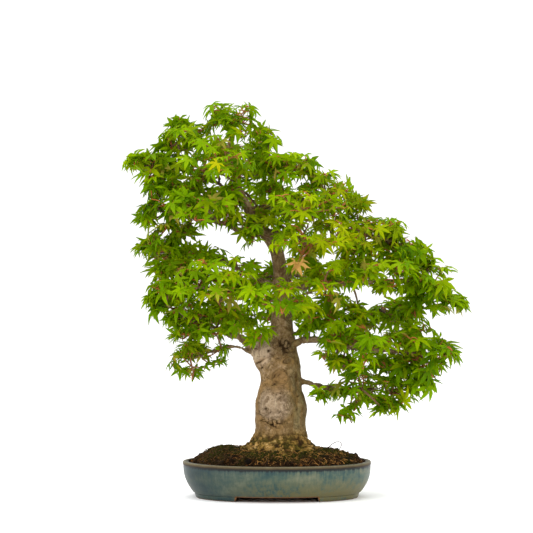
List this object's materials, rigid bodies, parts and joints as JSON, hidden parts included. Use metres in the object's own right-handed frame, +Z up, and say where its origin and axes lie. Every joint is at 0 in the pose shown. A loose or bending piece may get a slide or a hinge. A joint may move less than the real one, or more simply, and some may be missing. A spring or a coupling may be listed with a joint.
{
  "type": "bonsai tree",
  "caption": "Bonsai maple with a stout, flared trunk, tapering leader and tiered lobed foliage, planted in a mossy soil mound in a shallow oval glazed footed pot.",
  "frame": {"origin": "centre of the whole tree's outline on the ground, at the underside of the pot's foot ring", "axes": "+Z up, +X to the right seen from the front, the tree's front towards -Y; the pot's long side runs along X"},
  "size_m": [0.5962, 0.4164, 0.7131],
  "materials": {
    "glaze": "gloss",
    "screen_plastic": "matte",
    "wire_aluminium": "satin",
    "soil": "matte",
    "moss": "matte",
    "trunk_bark": "matte",
    "branch_bark": "matte",
    "leaves": "matte"
  },
  "bodies": {
    "root": {"drain_screen_left": "screen_plastic", "drain_screen_right": "screen_plastic", "leaves_apex": "leaves", "leaves_back_left": "leaves", "leaves_back_low": "leaves", "leaves_back_mid": "leaves", "leaves_back_right": "leaves", "leaves_back_right_low": "leaves", "leaves_back_upper": "leaves", "leaves_centre_right": "leaves", "leaves_centre_shelf": "leaves", "leaves_crown_back": "leaves", "leaves_crown_front": "leaves", "leaves_crown_left": "leaves", "leaves_crown_right": "leaves", "leaves_crown_top_left": "leaves", "leaves_front": "leaves", "leaves_front_upper": "leaves", "leaves_left": "leaves", "leaves_left_edge": "leaves", "leaves_left_front": "leaves", "leaves_left_mid": "leaves", "leaves_left_outer": "leaves", "leaves_left_sprig": "leaves", "leaves_lowest_right": "leaves", "leaves_right": "leaves", "leaves_right_back": "leaves", "leaves_right_edge": "leaves", "leaves_right_mid": "leaves", "leaves_right_outer": "leaves", "leaves_shelf_back": "leaves", "leaves_shelf_front": "leaves", "leaves_shelf_left": "leaves", "leaves_shoulder": "leaves", "leaves_shoulder_inner": "leaves", "leaves_shoulder_outer": "leaves", "limb_back": "branch_bark", "limb_back_upper": "branch_bark", "limb_centre_front": "branch_bark", "limb_crown_left": "branch_bark", "limb_crown_right": "branch_bark", "limb_front": "branch_bark", "limb_left": "branch_bark", "limb_left_front": "branch_bark", "limb_left_low": "branch_bark", "limb_left_mid": "branch_bark", "limb_left_shelf": "branch_bark", "limb_low_right": "branch_bark", "limb_right": "branch_bark", "limb_right_back": "branch_bark", "limb_right_mid": "branch_bark", "limb_shoulder": "branch_bark", "limb_shoulder_upper": "branch_bark", "moss_left": "moss", "moss_right": "moss", "pot": "glaze", "soil": "soil", "tie_wire_left": "wire_aluminium", "tie_wire_right": "wire_aluminium", "trunk": "trunk_bark"}
  },
  "joints": []
}
